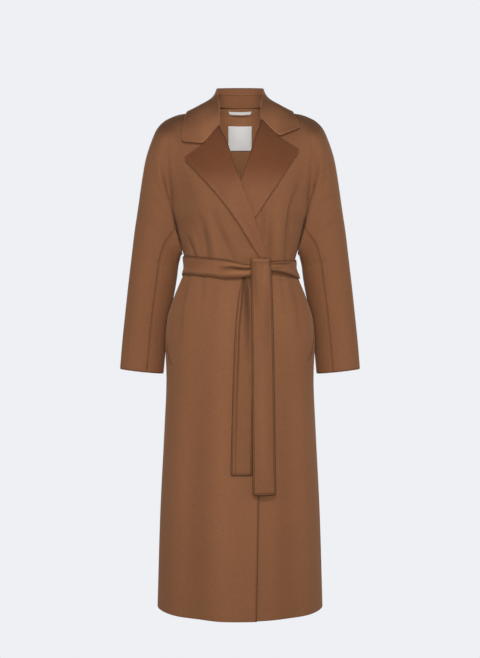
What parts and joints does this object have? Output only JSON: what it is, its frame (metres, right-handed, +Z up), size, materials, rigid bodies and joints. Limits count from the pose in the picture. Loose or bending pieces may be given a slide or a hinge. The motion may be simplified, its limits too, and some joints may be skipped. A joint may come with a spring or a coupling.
{
  "type": "wool wrap coat",
  "caption": "Long double-faced wool wrap coat, notched collar and lapels, right front over left, self belt tied once with hanging tails, worn form with no wearer, open neck, hem and cuffs.",
  "frame": {"origin": "base of the neck, midway between the wearer's shoulders, where the coat hangs from them", "axes": "+Z up, -Y out of the front, +X towards the wearer's left"},
  "size_m": [0.571, 0.3343, 1.2459],
  "materials": {
    "wool": "brushed double-faced wool, matt with a soft short nap, warm brown",
    "label_weave": "plain white woven label, bare",
    "satin_ribbon": "off-white satin ribbon, soft sheen"
  },
  "bodies": {
    "root": {"front_right": "wool", "front_left": "wool", "back_right": "wool", "back_left": "wool", "under_sleeve_right": "wool", "under_sleeve_left": "wool", "collar_stand": "wool", "collar_fall": "wool", "hanger_loop": "satin_ribbon", "label": "label_weave", "belt_band": "wool", "belt_tail_front": "wool", "belt_tail_rear": "wool"}
  },
  "joints": []
}
